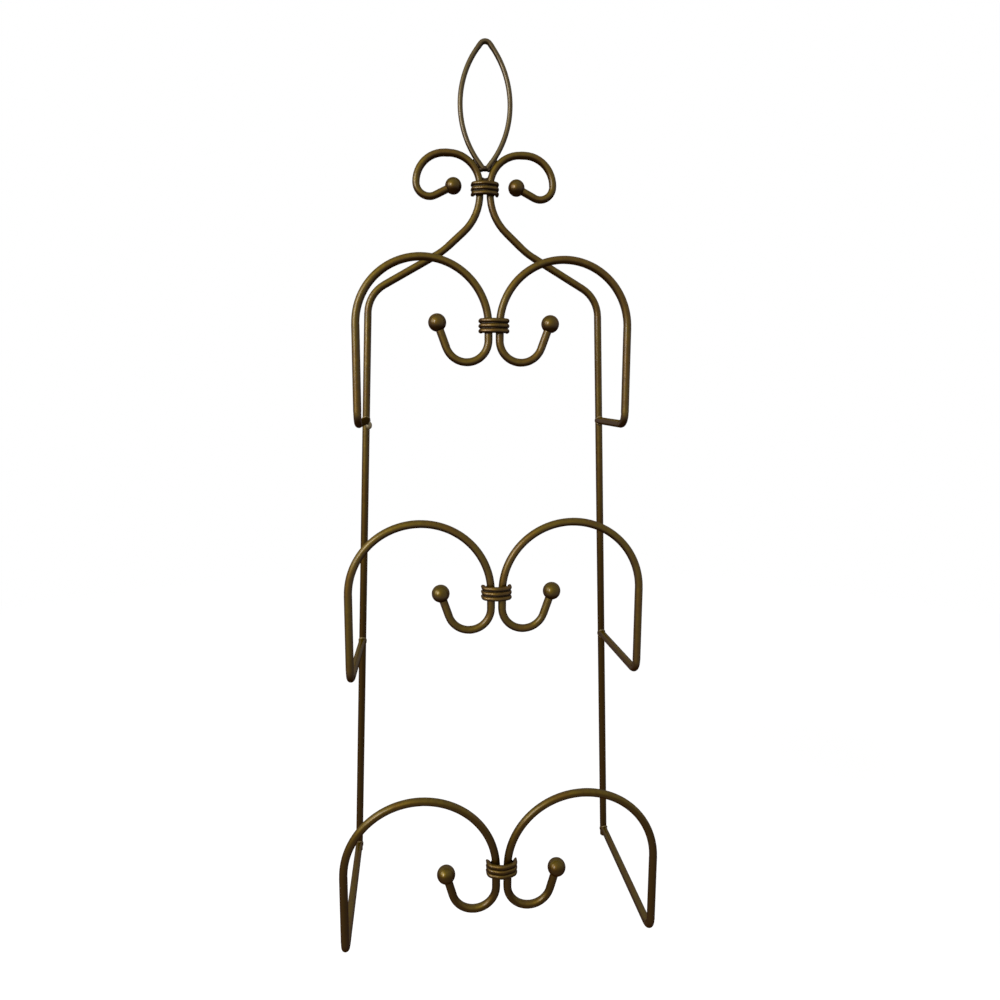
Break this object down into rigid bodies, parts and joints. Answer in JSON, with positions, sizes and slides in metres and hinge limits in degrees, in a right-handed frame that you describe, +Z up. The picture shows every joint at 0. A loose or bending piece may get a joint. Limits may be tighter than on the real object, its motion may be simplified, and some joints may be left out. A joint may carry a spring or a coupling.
{
  "type": "wall plate rack",
  "caption": "Wall-hung plate rack of bent rod: scrolled hoops with ball-ended hooks on two splayed uprights, under a crown of scrolls and a pointed hanging loop.",
  "frame": {"origin": "the hanging point: on the wall plane, level with the inside of the hanging loop's top, on the centre plane", "axes": "+Z up, -Y out from the wall towards the viewer, +X to the viewer's right; the wall is the plane y = 0"},
  "size_m": [0.2464, 0.1588, 0.7215],
  "materials": {
    "rod": "antique bronze lacquer, semi-gloss, darker in the hollows",
    "loop_wire": "antique bronze lacquer, semi-gloss, darker in the hollows",
    "ball": "antique bronze lacquer, semi-gloss, darker in the hollows",
    "collar_wire": "antique bronze lacquer, semi-gloss, darker in the hollows"
  },
  "bodies": {
    "root": {"upright_left": "rod", "upright_right": "rod", "hanging_loop": "loop_wire", "crown_ball_left": "ball", "crown_ball_right": "ball", "crown_collar_wire_upper": "collar_wire", "crown_collar_wire_middle": "collar_wire", "crown_collar_wire_lower": "collar_wire", "tier1_hoop_left": "rod", "tier1_hoop_right": "rod", "tier1_ball_left": "ball", "tier1_ball_right": "ball", "tier1_collar_wire_upper": "collar_wire", "tier1_collar_wire_middle": "collar_wire", "tier1_collar_wire_lower": "collar_wire", "tier2_hoop_left": "rod", "tier2_hoop_right": "rod", "tier2_ball_left": "ball", "tier2_ball_right": "ball", "tier2_collar_wire_upper": "collar_wire", "tier2_collar_wire_middle": "collar_wire", "tier2_collar_wire_lower": "collar_wire", "tier3_hoop_left": "rod", "tier3_hoop_right": "rod", "tier3_ball_left": "ball", "tier3_ball_right": "ball", "tier3_collar_wire_upper": "collar_wire", "tier3_collar_wire_middle": "collar_wire", "tier3_collar_wire_lower": "collar_wire"}
  },
  "joints": []
}
